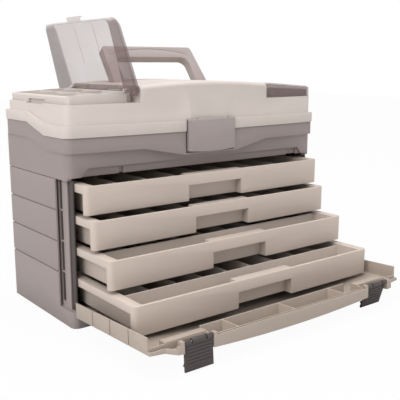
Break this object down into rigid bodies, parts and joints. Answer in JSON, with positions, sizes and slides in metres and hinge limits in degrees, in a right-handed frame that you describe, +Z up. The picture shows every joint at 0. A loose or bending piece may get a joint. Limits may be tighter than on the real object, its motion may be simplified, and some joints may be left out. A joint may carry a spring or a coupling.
{
  "type": "fishing tackle cabinet",
  "caption": "Portable tackle cabinet: bulk tub under a hinged lid with clear-covered pocket trays and a carry handle, over pull-out drawers behind a drop-down door.",
  "frame": {"origin": "middle of the base on the floor", "axes": "+X to the right, +Y to the back, +Z up; the drawers face -Y"},
  "size_m": [0.549, 0.478, 0.4975],
  "materials": {
    "shell_grey": "moulded warm grey polypropylene, satin",
    "lid_beige": "moulded pale beige polypropylene, fine stipple",
    "drawer_beige": "moulded beige polypropylene, satin",
    "smoke_clear": "smoke-tinted clear styrene, polished",
    "trim_grey": "moulded mid grey polypropylene, satin",
    "clip_grey": "moulded dark grey polypropylene, ribbed",
    "pin_steel": "bright drawn steel wire"
  },
  "bodies": {
    "cabinet": {"cabinet_shell": "shell_grey", "base_pan": "shell_grey", "left_runner_rack": "clip_grey", "right_runner_rack": "clip_grey", "upper_tub": "shell_grey", "lid_hinge_rod": "pin_steel", "door_hinge_rods": "pin_steel"},
    "lid": {"lid_shell": "lid_beige", "left_pocket_tray": "lid_beige", "right_pocket_tray": "lid_beige", "left_cover_rod": "pin_steel", "right_cover_rod": "pin_steel", "centre_latch_pin": "pin_steel", "left_handle_pin": "pin_steel", "right_handle_pin": "pin_steel"},
    "left_cover": {"left_access_cover": "smoke_clear"},
    "right_cover": {"right_access_cover": "smoke_clear"},
    "latch": {"centre_latch": "trim_grey"},
    "handle": {"carry_handle": "trim_grey"},
    "top_drawer": {"drawer_1": "drawer_beige", "drawer_1_dividers": "drawer_beige"},
    "second_drawer": {"drawer_2": "drawer_beige", "drawer_2_dividers": "drawer_beige"},
    "third_drawer": {"drawer_3": "drawer_beige", "drawer_3_dividers": "drawer_beige"},
    "bottom_drawer": {"drawer_4": "drawer_beige", "drawer_4_dividers": "drawer_beige"},
    "door": {"front_door": "drawer_beige", "left_latch_pin": "pin_steel", "right_latch_pin": "pin_steel"},
    "left_clip": {"left_door_latch": "clip_grey"},
    "right_clip": {"right_door_latch": "clip_grey"}
  },
  "joints": [
    {"name": "lid_hinge", "type": "hinge", "parent": "cabinet", "child": "lid", "pos_m": [0, 0.1215, 0.325], "axis": [-1, 0, 0], "range_deg": [0, 100]},
    {"name": "left_cover_hinge", "type": "hinge", "parent": "lid", "child": "left_cover", "pos_m": [-0.1485, 0, 0.377], "axis": [0, 1, 0], "range_deg": [-78, 13]},
    {"name": "right_cover_hinge", "type": "hinge", "parent": "lid", "child": "right_cover", "pos_m": [0.1485, 0, 0.377], "axis": [0, -1, 0], "range_deg": [0, 91]},
    {"name": "handle_pivot", "type": "hinge", "parent": "lid", "child": "handle", "pos_m": [0, 0.016, 0.3755], "axis": [1, 0, 0], "range_deg": [0, 56]},
    {"name": "centre_latch_hinge", "type": "hinge", "parent": "lid", "child": "latch", "pos_m": [0, -0.1305, 0.324], "axis": [-1, 0, 0], "range_deg": [0, 100]},
    {"name": "top_drawer_slide", "type": "slide", "parent": "cabinet", "child": "top_drawer", "axis": [0, -1, 0], "range_m": [-0.033, 0.136]},
    {"name": "second_drawer_slide", "type": "slide", "parent": "cabinet", "child": "second_drawer", "axis": [0, -1, 0], "range_m": [-0.053, 0.116]},
    {"name": "third_drawer_slide", "type": "slide", "parent": "cabinet", "child": "third_drawer", "axis": [0, -1, 0], "range_m": [-0.1, 0.069]},
    {"name": "bottom_drawer_slide", "type": "slide", "parent": "cabinet", "child": "bottom_drawer", "axis": [0, -1, 0], "range_m": [-0.165, 0.004]},
    {"name": "door_hinge", "type": "hinge", "parent": "cabinet", "child": "door", "pos_m": [0, -0.121, 0.027], "axis": [1, 0, 0], "range_deg": [-1, 0]},
    {"name": "left_clip_hinge", "type": "hinge", "parent": "door", "child": "left_clip", "pos_m": [-0.196, -0.34752, 0.0429], "axis": [-1, 0, 0], "range_deg": [-15, 89]},
    {"name": "right_clip_hinge", "type": "hinge", "parent": "door", "child": "right_clip", "pos_m": [0.196, -0.34752, 0.0429], "axis": [-1, 0, 0], "range_deg": [0, 108]}
  ]
}
